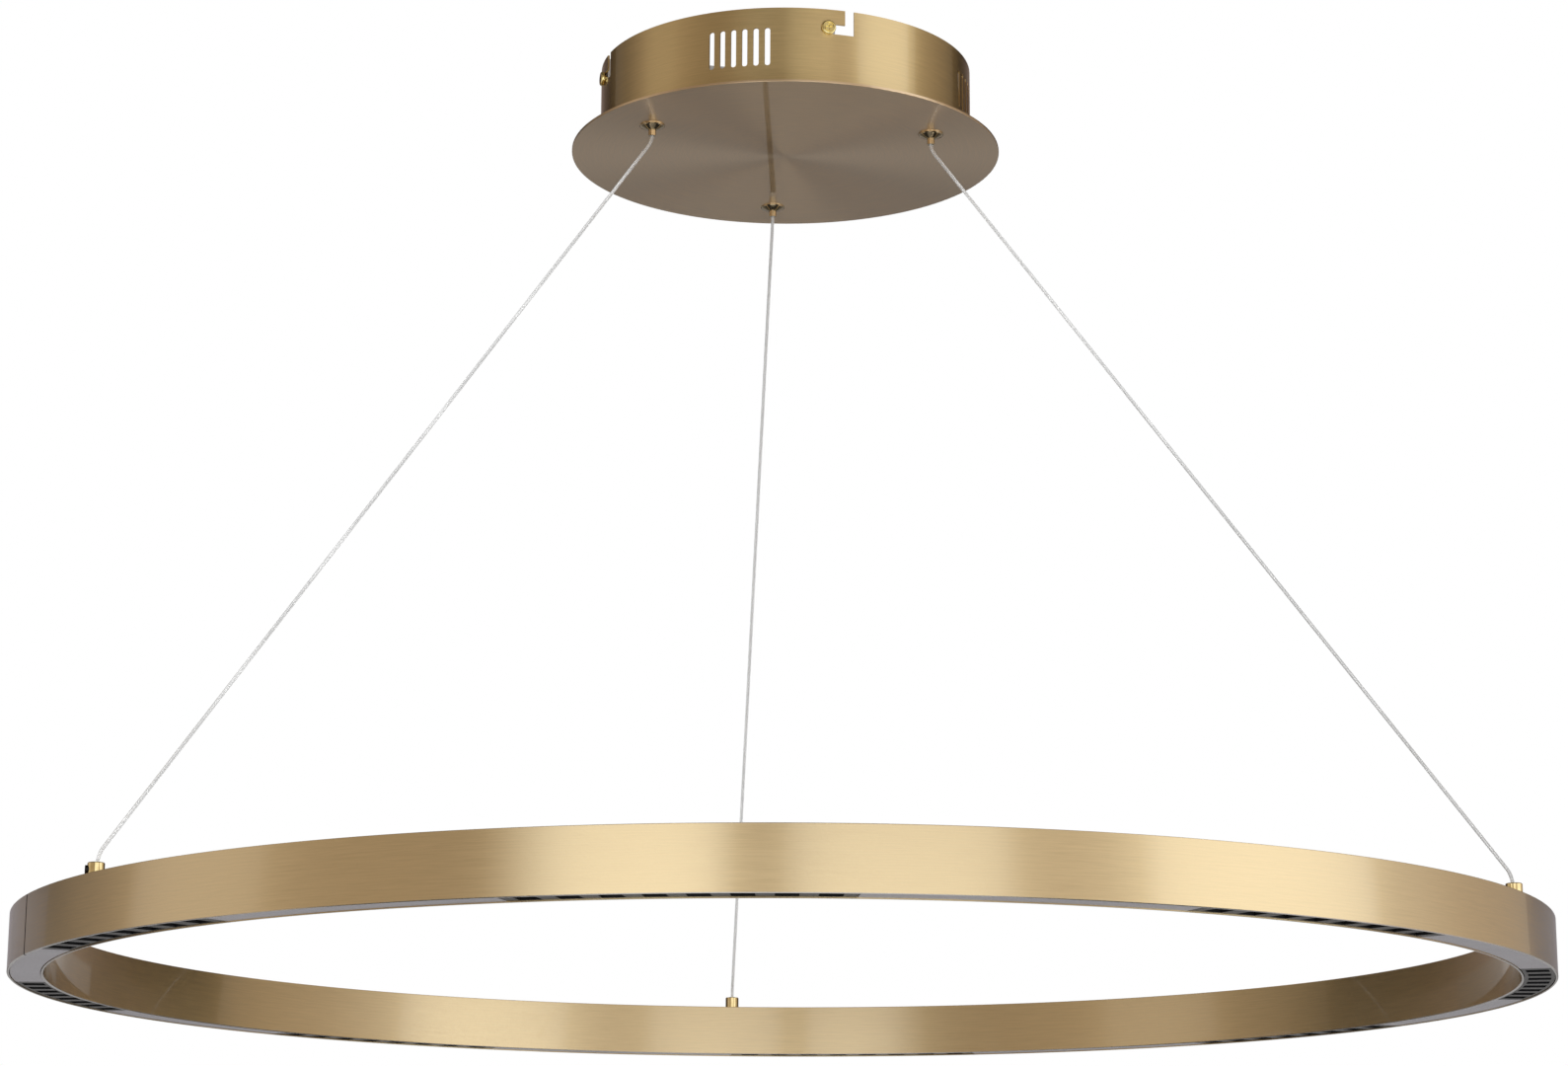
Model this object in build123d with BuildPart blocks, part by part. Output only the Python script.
from build123d import *
import os
from math import cos, degrees, pi, radians, sin

os.makedirs("parts", exist_ok=True)

# Sizes are in millimetres and angles in degrees. The origin is on the ceiling, on the axis that the
# canopy and the ring share, with +Z up and +X along the bracket's two slotted ceiling holes.

# Canopy: a drum that closes against the ceiling, standing on a wider round plate
canopy_height = 47.5
drum_diameter = 206
drum_wall = 1.0
drum_flange = 4.5
plate_overhang = 15.75
plate_thickness = 1.2
plate_edge_round = 0.3

# Vents: groups of upright slots in the drum, one group beside each side screw
vents_per_group = 6
vent_width = 2.9
vent_height = 21.2
vent_top = 11.2
vent_pitch = 3.42
vent_turn = -26.65

# Side screws and the L-shaped slots that hang the drum on them
screw_count = 4
screw_drop = 10.5
screw_shank = 4
screw_tail = 2
screw_head = 7.8
screw_head_height = 1.8
screw_head_round = 0.8
screw_head_play = 0.3
screw_cross_length = 3.4
screw_cross_width = 0.9
screw_cross_depth = 1.0
screw_groove = 5.5
screw_groove_width = 0.55
screw_groove_depth = 0.8
slot_play = 0.25
slot_drop = 1.25
slot_turn = 6.6
mouth_play = 0.5

# Ceiling bracket: a cross of strap with a bent tab behind each side screw
strap_thickness = 1.5
strap_width = 14
strap_reach = 62
tab_width = 8
tab_height = 16
tab_play = 0.5
hub_diameter = 34
supply_hole = 20
ceiling_hole_spacing = 76
ceiling_hole_length = 14
ceiling_hole_width = 4.6

# Suspension cables, from the grippers under the plate to the anchors on the ring
cable_angle = 82
cable_diameter = 1.8
cable_play = 0.3
cable_bend = 4
cable_exit_run = 3
drop = 434.3

# Cable grippers: press the nozzle up and the balls let the cable go
gripper_inset = 14
nozzle_diameter = 4.2
nozzle_play = 0.2
nozzle_reach = 3.3
cage_catch = 0.5
cage_play = 0.6
cage_length = 7
shoulder_depth = 1.2
stem_wall = 1.6
flange_lip = 1.9
flange_thickness = 1.0
flange_round = 0.5
boss_step = 0.6
boss_lip = 0.5
boss_height = 1.7
ball_count = 3
ball_play = 0.15
spring_length = 6
spring_wire = 0.6
spring_play = 0.4
bush_thickness = 2.5
gripper_nut_wall = 2
gripper_nut_thickness = 3
thread_play = 0.05

# Ring: an upturned channel with lamp modules and blank trays let into its underside by turns
ring_diameter = 800
ring_height = 29.6
ring_width = 18.2
ring_wall = 1.2
ledge_depth = 1.2
ledge_thickness = 1.0
seam_angle = -169
seam_width = 1.4
seam_depth = 0.6
module_count = 8
module_span = 22.5
module_angle = 70.75
insert_play = 0.3
insert_recess = 0.5
louvre_depth = 10
cell_count = 8
cell_end = 2.0
cell_bar = 8.2
cell_rim = 1.9
lens_thickness = 3
lens_dome = 4.4
dome_play = 0.5
board_thickness = 1.6
chip_size = 3
chip_height = 0.8
chip_play = 0.4
tray_wall = 1.0

# Anchors: brass posts on the ring that clamp the cables' lower ends
anchor_diameter = 8.2
anchor_height = 6.7
anchor_chamfer = 0.4
anchor_stem = 6
anchor_hole_play = 0.2
anchor_nut_wall = 2
anchor_nut_thickness = 3
anchor_thread_end = 1.3
set_screw_diameter = 4
set_screw_reach = 1.0
set_screw_play = 0.2
set_screw_socket = 2.0
set_screw_socket_depth = 2.0
set_screw_headings = (82, 182, 157)

# Feed wires inside the ring, each turning this far round the ring from its anchor
feed_wire_turns = (-6, 6, 12)
feed_wire_steps = 3
feed_wire_lift = 0.1

# Driver, on a foam pad on the plate
driver_length = 130
driver_width = 46
driver_height = 24
driver_wall = 1.6
driver_offset = 25
driver_lip = 2.0
driver_lip_play = 0.2
driver_rib_height = 4
driver_rib_inset = 20
driver_pad_thickness = 1.0
driver_pad_margin = 4
driver_board_thickness = 1.6
driver_board_play = 0.5
coil_length = 26
coil_width = 22
coil_headroom = 4
capacitor_diameter = 10
capacitor_headroom = 3
capacitor_inset = 29

# Cable tails, from the grippers to the driver's walls: share of its half length, and which wall
tail_rise = 7.2
tail_bend = 6.5
tail_lead = 14
tail_lead_bend = 10
tail_entries = ((0.06, 1), (-0.77, -1), (0.69, -1))

# Mains terminal block and earth stud
block_end = 1.5
block_width = 17
block_height = 13
block_x = 22
block_y = -38
pole_count = 3
pole_pitch = 8
pole_screw = 3.4
pole_screw_height = 2.5
pole_screw_slot = 0.7
pole_well_play = 0.2
pole_well_depth = 6
pole_bore = 3.2
pole_bore_height = 4
lead_diameter = 2.2
lead_grip = 6
earth_x = 50
earth_y = -20
earth_stud = 4
earth_stud_height = 11
earth_stud_foot = 9
earth_stud_foot_thickness = 1.5
earth_nut_flats = 7
earth_nut_thickness = 3.2

# Places worked out from the sizes above
drum_radius = drum_diameter / 2
drum_inside = drum_radius - drum_wall
plate_under = -canopy_height
plate_top = plate_under + plate_thickness
screw_pitch = 360 / screw_count
slot_top = screw_shank / 2 + slot_play
slot_bottom = -screw_shank / 2 - slot_drop
slot_mouth = screw_shank + 2 * mouth_play
tab_radius = drum_inside - tab_play
head_seat = drum_radius + screw_head_play
cable_count = len(tail_entries)
cable_pitch = 360 / cable_count
cable_radius = cable_diameter / 2
cable_bore = cable_radius + cable_play
gripper_radius = drum_inside - gripper_inset
nozzle_bore = nozzle_diameter / 2 + nozzle_play
nozzle_tip = -(flange_thickness + boss_height + nozzle_reach)
cage_radius = nozzle_bore + cage_catch
chamber_radius = cage_radius + cage_play
stem_radius = chamber_radius + stem_wall
flange_radius = stem_radius + flange_lip
gripper_nut_flats = 2 * (stem_radius + gripper_nut_wall)
ball_diameter = chamber_radius - cable_radius - 2 * ball_play
cage_top = -shoulder_depth + cage_length
ball_level = -shoulder_depth + cage_length / 2
ball_place = cable_radius + ball_play + ball_diameter / 2
spring_top = cage_top + spring_length
stem_top = spring_top + bush_thickness
ring_top = -(canopy_height + drop)
ring_bottom = ring_top - ring_height
ring_outside = ring_diameter / 2
ring_inside = ring_outside - ring_width
ring_middle = ring_outside - ring_width / 2
insert_width = ring_width - 2 * ring_wall - 2 * insert_play
insert_gap_angle = degrees(insert_play / ring_middle)
module_pitch = 360 / module_count
blank_span = module_pitch - module_span
louvre_bottom = ring_bottom + insert_recess
lens_bottom = louvre_bottom + louvre_depth
board_bottom = lens_bottom + lens_thickness
board_top = board_bottom + board_thickness
cell_turn = (module_span - 2 * degrees((insert_play + cell_end) / ring_middle)) / cell_count
cell_length = radians(cell_turn) * ring_middle - cell_bar
cell_width = insert_width - 2 * cell_rim
cell_throat = lens_dome + 2 * dome_play
anchor_nut_flats = anchor_stem + 2 * anchor_nut_wall
set_screw_height = anchor_height / 2
pad_top = plate_top + driver_pad_thickness
case_top = pad_top + driver_height - driver_wall
board_seat = pad_top + driver_wall + driver_rib_height
board_space = case_top - board_seat - driver_board_thickness
block_length = pole_count * pole_pitch + 2 * block_end
tail_level = plate_under + stem_top + tail_rise


def polar(radius, angle, z=0):
    """A point at that radius and angle about the common axis."""
    return Vector(radius * cos(radians(angle)), radius * sin(radians(angle)), z)


def wall_plane(radius, angle, z):
    """A plane on an upright round wall, facing outwards, with +Z as its up."""
    return Plane(origin=polar(radius, angle, z), x_dir=polar(1, angle + 90), z_dir=polar(1, angle))


def half_plane(angle):
    """The upright plane from the common axis outwards, for a profile that turns round it."""
    return Plane(origin=(0, 0, 0), x_dir=polar(1, angle), z_dir=polar(1, angle - 90))


def level_plane(radius, angle, z):
    """A level plane at a point of the ring, its own X pointing outwards."""
    return Plane(origin=polar(radius, angle, z), x_dir=polar(1, angle), z_dir=(0, 0, 1))


def post_plane(foot):
    """The upright plane through a post's foot, for a profile that turns round the post."""
    return Plane(origin=foot, x_dir=(1, 0, 0), z_dir=(0, -1, 0))


def post_axis(foot):
    """The upright axis of a post."""
    return Axis(foot, (0, 0, 1))


def module_start(n):
    """Angle at which lamp module n begins."""
    return module_angle - module_span / 2 + n * module_pitch


def cell_angle(cell):
    """Angle of a cell's middle from its module's middle."""
    return (cell - (cell_count - 1) / 2) * cell_turn


def report_tube(name, tube, route, radius):
    """Print a tube's length, and its volume against section times length."""
    length = route.wire().length
    share = tube.part.volume / (pi * radius**2 * length)
    print(f"{name}: length {length:.1f} mm, volume over section times length {share:.4f}")


# Ceiling bracket
with BuildPart() as ceiling_bracket:
    with BuildSketch(Plane.XY.offset(-strap_thickness)):
        for length, width in ((2 * strap_reach, strap_width), (2 * tab_radius, tab_width)):
            Rectangle(length, width)
            Rectangle(width, length)
        Circle(hub_diameter / 2)
        Circle(supply_hole / 2, mode=Mode.SUBTRACT)
        with GridLocations(ceiling_hole_spacing, 0, 2, 1):
            SlotOverall(ceiling_hole_length, ceiling_hole_width, mode=Mode.SUBTRACT)
    extrude(amount=strap_thickness)
    with BuildSketch(Plane.XY.offset(-tab_height)):
        with PolarLocations(tab_radius - strap_thickness / 2, screw_count):
            Rectangle(strap_thickness, tab_width)
    extrude(amount=tab_height)
    bends = ceiling_bracket.edges().group_by(Axis.Z)[-1].sort_by_distance((0, 0, 0))[-screw_count:]
    fillet(bends, strap_thickness)
    for n in range(screw_count):
        with BuildSketch(wall_plane(tab_radius, n * screw_pitch, -screw_drop)):
            Circle(screw_shank / 2 + thread_play)
        extrude(amount=-2 * strap_thickness, mode=Mode.SUBTRACT)
ceiling_bracket.part.label = "ceiling_bracket"
export_step(ceiling_bracket.part, "parts/ceiling_bracket.step")

# Side screws, each with a grooved and crossed head outside the drum
with BuildPart() as side_screws:
    shank_start = tab_radius - strap_thickness - screw_tail
    for n in range(screw_count):
        with BuildSketch(wall_plane(shank_start, n * screw_pitch, -screw_drop)):
            Circle(screw_shank / 2)
        extrude(amount=head_seat - shank_start)
        with BuildSketch(wall_plane(head_seat, n * screw_pitch, -screw_drop)):
            Circle(screw_head / 2)
        extrude(amount=screw_head_height)
    rims = side_screws.edges().filter_by(GeomType.CIRCLE).sort_by(lambda edge: edge.arc_center.length)
    fillet(rims[-screw_count:], screw_head_round)
    for n in range(screw_count):
        with BuildSketch(wall_plane(head_seat + screw_head_height, n * screw_pitch, -screw_drop)):
            Rectangle(screw_cross_length, screw_cross_width)
            Rectangle(screw_cross_width, screw_cross_length)
        extrude(amount=-screw_cross_depth, mode=Mode.SUBTRACT)
        with BuildSketch(wall_plane(head_seat + screw_head_height, n * screw_pitch, -screw_drop)):
            Circle(screw_groove / 2)
            Circle(screw_groove / 2 - screw_groove_width, mode=Mode.SUBTRACT)
        extrude(amount=-screw_groove_depth, mode=Mode.SUBTRACT)
side_screws.part.label = "side_screws"
export_step(side_screws.part, "parts/side_screws.step")

# Canopy drum, with its vents and bayonet slots
with BuildPart() as canopy_drum:
    with BuildSketch(Plane.XY.offset(plate_top)):
        Circle(drum_radius)
        Circle(drum_inside, mode=Mode.SUBTRACT)
    extrude(amount=-plate_top)
    with BuildSketch(Plane.XY.offset(plate_top)):
        Circle(drum_inside + drum_wall / 2)
        Circle(drum_inside - drum_flange, mode=Mode.SUBTRACT)
    extrude(amount=drum_wall)
    for n in range(screw_count):
        for vent in range(vents_per_group):
            turn = vent_turn + (vent - (vents_per_group - 1) / 2) * vent_pitch
            with BuildSketch(wall_plane(drum_radius, n * screw_pitch + turn, -vent_top - vent_height / 2)):
                SlotOverall(vent_height, vent_width, rotation=90)
            extrude(amount=2 * drum_wall, both=True, mode=Mode.SUBTRACT)
        mouth_middle = drum_radius * sin(radians(slot_turn))
        mouth_end = mouth_middle + slot_mouth / 2
        with BuildSketch(wall_plane(drum_radius, n * screw_pitch, -screw_drop)):
            with BuildLine():
                Polyline(
                    (-slot_top, slot_top),
                    (-slot_top, slot_bottom),
                    (mouth_end, slot_bottom),
                    (mouth_end, 2 * screw_drop),
                    (mouth_end - slot_mouth, 2 * screw_drop),
                    (mouth_end - slot_mouth, slot_top),
                    close=True,
                )
            make_face()
        extrude(amount=4 * drum_wall, both=True, mode=Mode.SUBTRACT)
canopy_drum.part.label = "canopy_drum"
export_step(canopy_drum.part, "parts/canopy_drum.step")

# Canopy plate, bored for the gripper stems
with BuildPart() as canopy_plate:
    with BuildSketch(Plane.XY.offset(plate_under)):
        Circle(drum_radius + plate_overhang)
        with PolarLocations(gripper_radius, cable_count, start_angle=cable_angle):
            Circle(stem_radius + thread_play, mode=Mode.SUBTRACT)
    extrude(amount=plate_thickness)
    fillet(canopy_plate.edges().group_by(Axis.Z)[0].sort_by(SortBy.LENGTH)[-1], plate_edge_round)
canopy_plate.part.label = "canopy_plate"
export_step(canopy_plate.part, "parts/canopy_plate.step")

# Cable grippers: body, sprung nozzle, balls, spring, cable and cable tail
for n in range(cable_count):
    angle = cable_angle + n * cable_pitch
    foot = polar(gripper_radius, angle, plate_under)

    with BuildPart() as gripper_body:
        with BuildSketch(post_plane(foot)):
            with BuildLine():
                Polyline(
                    (nozzle_bore, -flange_thickness - boss_height),
                    (nozzle_bore + boss_lip, -flange_thickness - boss_height),
                    (flange_radius - boss_step, -flange_thickness),
                    (flange_radius - flange_round, -flange_thickness),
                    (flange_radius, -flange_thickness + flange_round),
                    (flange_radius, 0),
                    (stem_radius, 0),
                    (stem_radius, stem_top),
                    (chamber_radius, stem_top),
                    (chamber_radius, -shoulder_depth),
                    (nozzle_bore, -shoulder_depth),
                    close=True,
                )
            make_face()
        revolve(axis=post_axis(foot))
    gripper_body.part.label = f"gripper_body_{n + 1}"
    export_step(gripper_body.part, f"parts/gripper_body_{n + 1}.step")

    with BuildPart() as gripper_plunger:
        with BuildSketch(post_plane(foot)):
            with BuildLine():
                Polyline(
                    (cable_bore, nozzle_tip),
                    (nozzle_diameter / 2, nozzle_tip),
                    (nozzle_diameter / 2, -shoulder_depth),
                    (cage_radius, -shoulder_depth),
                    (cage_radius, cage_top),
                    (cable_bore, cage_top),
                    close=True,
                )
            make_face()
        revolve(axis=post_axis(foot))
        for ball in range(ball_count):
            window = Plane(
                origin=foot + Vector(0, 0, ball_level),
                x_dir=(0, 0, 1),
                z_dir=polar(1, ball * 360 / ball_count),
            )
            with BuildSketch(window):
                Circle(ball_diameter / 2 + ball_play)
            extrude(amount=2 * cage_radius, mode=Mode.SUBTRACT)
    gripper_plunger.part.label = f"gripper_plunger_{n + 1}"
    export_step(gripper_plunger.part, f"parts/gripper_plunger_{n + 1}.step")

    with BuildPart() as gripper_balls:
        with Locations(Plane(foot + Vector(0, 0, ball_level))):
            with PolarLocations(ball_place, ball_count):
                Sphere(ball_diameter / 2)
    gripper_balls.part.label = f"gripper_balls_{n + 1}"
    export_step(gripper_balls.part, f"parts/gripper_balls_{n + 1}.step")

    with BuildPart() as gripper_spring:
        with BuildSketch(Plane(foot + Vector(0, 0, cage_top))):
            Circle(chamber_radius - spring_play)
            Circle(chamber_radius - spring_play - spring_wire, mode=Mode.SUBTRACT)
        extrude(amount=spring_length)
    gripper_spring.part.label = f"gripper_spring_{n + 1}"
    export_step(gripper_spring.part, f"parts/gripper_spring_{n + 1}.step")

    exit_point = foot + Vector(0, 0, nozzle_tip)
    anchor_foot = polar(ring_middle, angle, ring_top)
    with BuildPart() as cable:
        with BuildLine() as cable_route:
            FilletPolyline(
                exit_point,
                exit_point - Vector(0, 0, cable_exit_run),
                anchor_foot + Vector(0, 0, anchor_height + cable_exit_run),
                anchor_foot,
                radius=cable_bend,
            )
        with BuildSketch(Plane(origin=exit_point, z_dir=(0, 0, -1))):
            Circle(cable_radius)
        sweep(path=cable_route.line)
    print(f"cable_{n + 1}: bend radius {cable_bend} mm at the nozzle's lip and at the anchor's")
    report_tube(f"cable_{n + 1}", cable, cable_route, cable_radius)
    cable.part.label = f"cable_{n + 1}"
    export_step(cable.part, f"parts/cable_{n + 1}.step")

    share, side = tail_entries[n]
    entry_x = share * driver_length / 2
    entry_y = driver_offset + side * driver_width / 2
    with BuildPart() as cable_tail:
        with BuildLine() as tail_route:
            FilletPolyline(
                exit_point,
                (foot.X, foot.Y, tail_level),
                (entry_x, entry_y + side * tail_lead, tail_level),
                (entry_x, entry_y, tail_level),
                radius=(tail_bend, tail_lead_bend),
            )
        with BuildSketch(Plane(origin=exit_point, z_dir=(0, 0, 1))):
            Circle(cable_radius)
        sweep(path=tail_route.line)
    print(f"cable_tail_{n + 1}: bend radii {tail_bend} and {tail_lead_bend} mm")
    report_tube(f"cable_tail_{n + 1}", cable_tail, tail_route, cable_radius)
    cable_tail.part.label = f"cable_tail_{n + 1}"
    export_step(cable_tail.part, f"parts/cable_tail_{n + 1}.step")

# Nuts above the plate and bushes that close the gripper stems
with BuildPart() as gripper_nuts:
    with BuildSketch(Plane.XY.offset(plate_top)):
        with PolarLocations(gripper_radius, cable_count, start_angle=cable_angle):
            RegularPolygon(gripper_nut_flats / 2, 6, major_radius=False)
            Circle(stem_radius + thread_play, mode=Mode.SUBTRACT)
    extrude(amount=gripper_nut_thickness)
gripper_nuts.part.label = "gripper_nuts"
export_step(gripper_nuts.part, "parts/gripper_nuts.step")

with BuildPart() as gripper_bushes:
    with BuildSketch(Plane.XY.offset(plate_under + spring_top)):
        with PolarLocations(gripper_radius, cable_count, start_angle=cable_angle):
            Circle(chamber_radius - thread_play)
            Circle(cable_bore, mode=Mode.SUBTRACT)
    extrude(amount=bush_thickness)
gripper_bushes.part.label = "gripper_bushes"
export_step(gripper_bushes.part, "parts/gripper_bushes.step")

# Driver case with ribs for its board
with BuildPart() as driver_case:
    with BuildSketch(Plane.XY.offset(pad_top)):
        with Locations((0, driver_offset)):
            Rectangle(driver_length, driver_width)
    extrude(amount=driver_height - driver_wall)
    with BuildSketch(Plane.XY.offset(pad_top + driver_wall)):
        with Locations((0, driver_offset)):
            Rectangle(driver_length - 2 * driver_wall, driver_width - 2 * driver_wall)
    extrude(amount=driver_height, mode=Mode.SUBTRACT)
    with BuildSketch(Plane.XY.offset(pad_top + driver_wall)):
        with Locations((0, driver_offset)):
            with GridLocations(driver_length - 2 * driver_rib_inset, 0, 2, 1):
                Rectangle(driver_wall, driver_width - driver_wall)
    extrude(amount=driver_rib_height)
driver_case.part.label = "driver_case"
export_step(driver_case.part, "parts/driver_case.step")

with BuildPart() as driver_cover:
    lip_length = driver_length - 2 * driver_wall - 2 * driver_lip_play
    lip_width = driver_width - 2 * driver_wall - 2 * driver_lip_play
    with BuildSketch(Plane.XY.offset(case_top)):
        with Locations((0, driver_offset)):
            Rectangle(driver_length, driver_width)
    extrude(amount=driver_wall)
    with BuildSketch(Plane.XY.offset(case_top)):
        with Locations((0, driver_offset)):
            Rectangle(lip_length, lip_width)
            Rectangle(lip_length - 2 * driver_wall, lip_width - 2 * driver_wall, mode=Mode.SUBTRACT)
    extrude(amount=-driver_lip)
driver_cover.part.label = "driver_cover"
export_step(driver_cover.part, "parts/driver_cover.step")

with BuildPart() as driver_board:
    board_length = driver_length - 2 * driver_wall - 2 * driver_board_play
    board_width = driver_width - 2 * driver_wall - 2 * driver_board_play
    with BuildSketch(Plane.XY.offset(board_seat)):
        with Locations((0, driver_offset)):
            Rectangle(board_length, board_width)
    extrude(amount=driver_board_thickness)
    with BuildSketch(Plane.XY.offset(board_seat + driver_board_thickness)):
        with Locations((0, driver_offset)):
            Rectangle(coil_length, coil_width)
    extrude(amount=board_space - coil_headroom)
    with BuildSketch(Plane.XY.offset(board_seat + driver_board_thickness)):
        with Locations((0, driver_offset)):
            with GridLocations(driver_length - 2 * capacitor_inset, 0, 2, 1):
                Circle(capacitor_diameter / 2)
    extrude(amount=board_space - capacitor_headroom)
driver_board.part.label = "driver_board"
export_step(driver_board.part, "parts/driver_board.step")

with BuildPart() as driver_pad:
    with BuildSketch(Plane.XY.offset(plate_top)):
        with Locations((0, driver_offset)):
            Rectangle(driver_length - 2 * driver_pad_margin, driver_width - 2 * driver_pad_margin)
    extrude(amount=driver_pad_thickness)
driver_pad.part.label = "driver_pad"
export_step(driver_pad.part, "parts/driver_pad.step")

# Mains terminal block with its screws and the two leads to the driver
pole_places = [block_x + (n - (pole_count - 1) / 2) * pole_pitch for n in range(pole_count)]
with BuildPart() as terminal_block:
    with BuildSketch(Plane.XY.offset(plate_top)):
        with Locations((block_x, block_y)):
            Rectangle(block_length, block_width)
    extrude(amount=block_height)
    with BuildSketch(Plane.XY.offset(plate_top + block_height)):
        with Locations(*[(x, block_y) for x in pole_places]):
            Circle(pole_screw / 2 + pole_well_play)
    extrude(amount=-pole_well_depth, mode=Mode.SUBTRACT)
    with BuildSketch(Plane.XZ.offset(-block_y - block_width / 2)):
        with Locations(*[(x, plate_top + pole_bore_height) for x in pole_places]):
            Circle(pole_bore / 2)
    extrude(amount=block_width, mode=Mode.SUBTRACT)
terminal_block.part.label = "terminal_block"
export_step(terminal_block.part, "parts/terminal_block.step")

with BuildPart() as terminal_screws:
    well_floor = plate_top + block_height - pole_well_depth
    with BuildSketch(Plane.XY.offset(well_floor)):
        with Locations(*[(x, block_y) for x in pole_places]):
            Circle(pole_screw / 2)
    extrude(amount=pole_screw_height)
    with BuildSketch(Plane.XY.offset(well_floor + pole_screw_height)):
        with Locations(*[(x, block_y) for x in pole_places]):
            Rectangle(pole_screw, pole_screw_slot)
    extrude(amount=-pole_screw_slot, mode=Mode.SUBTRACT)
terminal_screws.part.label = "terminal_screws"
export_step(terminal_screws.part, "parts/terminal_screws.step")

with BuildPart() as input_leads:
    lead_start = block_y + block_width / 2 - lead_grip
    lead_end = driver_offset - driver_width / 2
    with BuildSketch(Plane.XZ.offset(-lead_end)):
        with Locations(*[(x, plate_top + pole_bore_height) for x in pole_places[:2]]):
            Circle(lead_diameter / 2)
    extrude(amount=lead_end - lead_start)
input_leads.part.label = "input_leads"
export_step(input_leads.part, "parts/input_leads.step")

# Earth stud on the plate, with its nut
with BuildPart() as earth_terminal:
    with BuildSketch(Plane.XY.offset(plate_top)):
        with Locations((earth_x, earth_y)):
            Circle(earth_stud_foot / 2)
    extrude(amount=earth_stud_foot_thickness)
    with BuildSketch(Plane.XY.offset(plate_top)):
        with Locations((earth_x, earth_y)):
            Circle(earth_stud / 2)
    extrude(amount=earth_stud_height)
    with BuildSketch(Plane.XY.offset(plate_top + earth_stud_foot_thickness + thread_play)):
        with Locations((earth_x, earth_y)):
            RegularPolygon(earth_nut_flats / 2, 6, major_radius=False)
            Circle(earth_stud / 2 + thread_play, mode=Mode.SUBTRACT)
    extrude(amount=earth_nut_thickness)
earth_terminal.part.label = "earth_terminal"
export_step(earth_terminal.part, "parts/earth_terminal.step")

# Ring channel, with a ledge on each wall that the lamp boards seat against
with BuildPart() as ring_channel:
    with BuildSketch(half_plane(0)):
        with Locations((ring_middle, ring_top - ring_height / 2)):
            Rectangle(ring_width, ring_height)
        with Locations((ring_middle, ring_bottom)):
            Rectangle(
                ring_width - 2 * ring_wall,
                2 * (ring_height - ring_wall),
                mode=Mode.SUBTRACT,
            )
        for wall_face, inwards in ((ring_outside - ring_wall, -1), (ring_inside + ring_wall, 1)):
            with Locations((wall_face + inwards * ledge_depth / 2, board_top + ledge_thickness / 2)):
                Rectangle(ledge_depth, ledge_thickness)
    revolve(axis=Axis.Z)
    with BuildSketch(Plane.XY.offset(ring_top)):
        with PolarLocations(ring_middle, cable_count, start_angle=cable_angle):
            Circle(anchor_stem / 2 + anchor_hole_play)
    extrude(amount=-2 * ring_wall, mode=Mode.SUBTRACT)
    with BuildSketch(wall_plane(ring_outside, seam_angle, ring_top - ring_height / 2)):
        Rectangle(seam_width, 2 * ring_height)
    extrude(amount=seam_depth, both=True, mode=Mode.SUBTRACT)
ring_channel.part.label = "ring_channel"
export_step(ring_channel.part, "parts/ring_channel.step")

# Louvre of square flared cells, one for each lamp module
insert_middle_angle = module_span / 2 - insert_gap_angle
with BuildPart() as louvre:
    with BuildSketch(half_plane(-insert_middle_angle)):
        with Locations((ring_middle, louvre_bottom + louvre_depth / 2)):
            Rectangle(insert_width, louvre_depth)
    revolve(axis=Axis.Z, revolution_arc=2 * insert_middle_angle)
    for cell in range(cell_count):
        with BuildSketch(level_plane(ring_middle, cell_angle(cell), louvre_bottom)):
            Rectangle(cell_width, cell_length)
        with BuildSketch(level_plane(ring_middle, cell_angle(cell), lens_bottom)):
            Rectangle(cell_throat, cell_throat)
        loft(mode=Mode.SUBTRACT)
for n in range(module_count):
    with BuildPart() as louvre_copy:
        add(louvre.part, rotation=(0, 0, module_angle + n * module_pitch))
    louvre_copy.part.label = f"louvre_{n + 1}"
    export_step(louvre_copy.part, f"parts/louvre_{n + 1}.step")

# Clear lens strip with a dome over each cell and a pocket over each chip
with BuildPart() as lens_strip:
    with BuildSketch(half_plane(-insert_middle_angle)):
        with Locations((ring_middle, lens_bottom + lens_thickness / 2)):
            Rectangle(insert_width, lens_thickness)
    revolve(axis=Axis.Z, revolution_arc=2 * insert_middle_angle)
    for cell in range(cell_count):
        with Locations(level_plane(ring_middle, cell_angle(cell), lens_bottom)):
            Sphere(lens_dome / 2)
    for cell in range(cell_count):
        with BuildSketch(level_plane(ring_middle, cell_angle(cell), board_bottom)):
            Rectangle(chip_size + 2 * chip_play, chip_size + 2 * chip_play)
        extrude(amount=-chip_height - chip_play, mode=Mode.SUBTRACT)
with BuildPart() as lens_strips:
    for n in range(module_count):
        add(lens_strip.part, rotation=(0, 0, module_angle + n * module_pitch))
lens_strips.part.label = "lens_strips"
export_step(lens_strips.part, "parts/lens_strips.step")

# Lamp boards and their chips
with BuildPart() as led_boards:
    for n in range(module_count):
        with BuildSketch(half_plane(module_start(n) + insert_gap_angle)):
            with Locations((ring_middle, board_bottom + board_thickness / 2)):
                Rectangle(insert_width, board_thickness)
        revolve(axis=Axis.Z, revolution_arc=2 * insert_middle_angle)
led_boards.part.label = "led_boards"
export_step(led_boards.part, "parts/led_boards.step")

with BuildPart() as led_chips:
    for n in range(module_count):
        for cell in range(cell_count):
            turn = module_angle + n * module_pitch + cell_angle(cell)
            with BuildSketch(level_plane(ring_middle, turn, board_bottom)):
                Rectangle(chip_size, chip_size)
    extrude(amount=-chip_height)
led_chips.part.label = "led_chips"
export_step(led_chips.part, "parts/led_chips.step")

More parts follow.
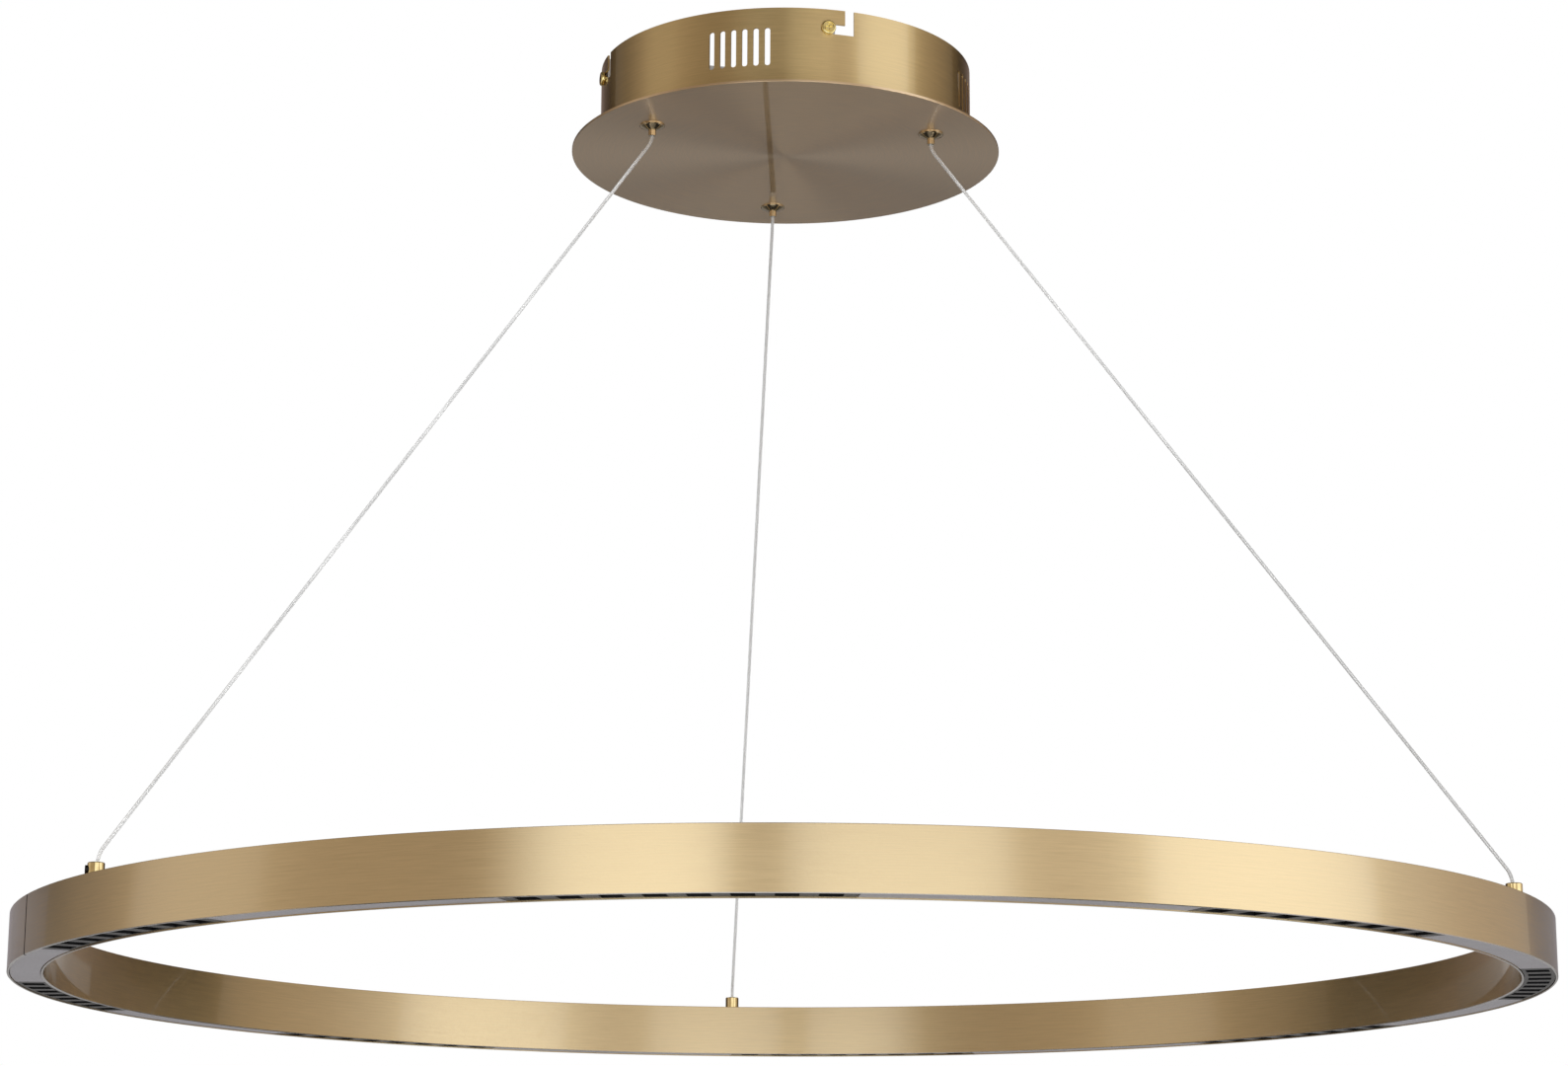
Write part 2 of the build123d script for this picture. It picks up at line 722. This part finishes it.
# Blank trays between the lamp modules
for n in range(module_count):
    with BuildPart() as blank_plate:
        with BuildSketch(half_plane(module_start(n) + module_span + insert_gap_angle)):
            tray_height = board_top - louvre_bottom
            with Locations((ring_middle, louvre_bottom + tray_height / 2)):
                Rectangle(insert_width, tray_height)
            with Locations((ring_middle, louvre_bottom + tray_wall + tray_height / 2)):
                Rectangle(insert_width - 2 * tray_wall, tray_height, mode=Mode.SUBTRACT)
        revolve(axis=Axis.Z, revolution_arc=blank_span - 2 * insert_gap_angle)
    blank_plate.part.label = f"blank_plate_{n + 1}"
    export_step(blank_plate.part, f"parts/blank_plate_{n + 1}.step")

# Ring anchors, with a cross hole for the screw that clamps the cable
for n in range(cable_count):
    foot = polar(ring_middle, cable_angle + n * cable_pitch, ring_top)
    stem_end = -(ring_wall + anchor_nut_thickness + anchor_thread_end)
    heading = polar(1, set_screw_headings[n])
    with BuildPart() as ring_anchor:
        with BuildSketch(post_plane(foot)):
            with BuildLine():
                Polyline(
                    (cable_bore, stem_end),
                    (anchor_stem / 2, stem_end),
                    (anchor_stem / 2, 0),
                    (anchor_diameter / 2, 0),
                    (anchor_diameter / 2, anchor_height - anchor_chamfer),
                    (anchor_diameter / 2 - anchor_chamfer, anchor_height),
                    (cable_bore, anchor_height),
                    close=True,
                )
            make_face()
        revolve(axis=post_axis(foot))
        with BuildSketch(Plane(origin=foot + Vector(0, 0, set_screw_height), z_dir=heading)):
            Circle(set_screw_diameter / 2 + thread_play)
        extrude(amount=anchor_diameter, mode=Mode.SUBTRACT)
    ring_anchor.part.label = f"ring_anchor_{n + 1}"
    export_step(ring_anchor.part, f"parts/ring_anchor_{n + 1}.step")

with BuildPart() as anchor_set_screws:
    for n in range(cable_count):
        foot = polar(ring_middle, cable_angle + n * cable_pitch, ring_top + set_screw_height)
        heading = polar(1, set_screw_headings[n])
        tip = cable_radius + set_screw_play
        outer_end = anchor_diameter / 2 + set_screw_reach
        with BuildSketch(Plane(origin=foot + heading * tip, z_dir=heading)):
            Circle(set_screw_diameter / 2)
        extrude(amount=outer_end - tip)
        with BuildSketch(Plane(origin=foot + heading * outer_end, z_dir=heading)):
            RegularPolygon(set_screw_socket / 2, 6, major_radius=False)
        extrude(amount=-set_screw_socket_depth, mode=Mode.SUBTRACT)
anchor_set_screws.part.label = "anchor_set_screws"
export_step(anchor_set_screws.part, "parts/anchor_set_screws.step")

with BuildPart() as anchor_nuts:
    with BuildSketch(Plane.XY.offset(ring_top - ring_wall)):
        with PolarLocations(ring_middle, cable_count, start_angle=cable_angle):
            RegularPolygon(anchor_nut_flats / 2, 6, major_radius=False)
            Circle(anchor_stem / 2 + thread_play, mode=Mode.SUBTRACT)
    extrude(amount=-anchor_nut_thickness)
anchor_nuts.part.label = "anchor_nuts"
export_step(anchor_nuts.part, "parts/anchor_nuts.step")

# Feed wires, down through the anchors and along the boards
with BuildPart() as feed_wires:
    wire_level = board_top + cable_radius + feed_wire_lift
    for n in range(cable_count):
        angle = cable_angle + n * cable_pitch
        start = polar(ring_middle, angle, ring_top)
        step_turn = feed_wire_turns[n] / feed_wire_steps
        points = [start]
        for step in range(feed_wire_steps + 1):
            points.append(polar(ring_middle, angle + step * step_turn, wire_level))
        with BuildLine() as wire_route:
            FilletPolyline(*points, radius=cable_bend)
        with BuildSketch(Plane(origin=start, z_dir=(0, 0, -1))):
            Circle(cable_radius)
        sweep(path=wire_route.line)
        print(f"feed wire {n + 1}: length {wire_route.wire().length:.1f} mm, bend radius {cable_bend} mm")
feed_wires.part.label = "feed_wires"
export_step(feed_wires.part, "parts/feed_wires.step")
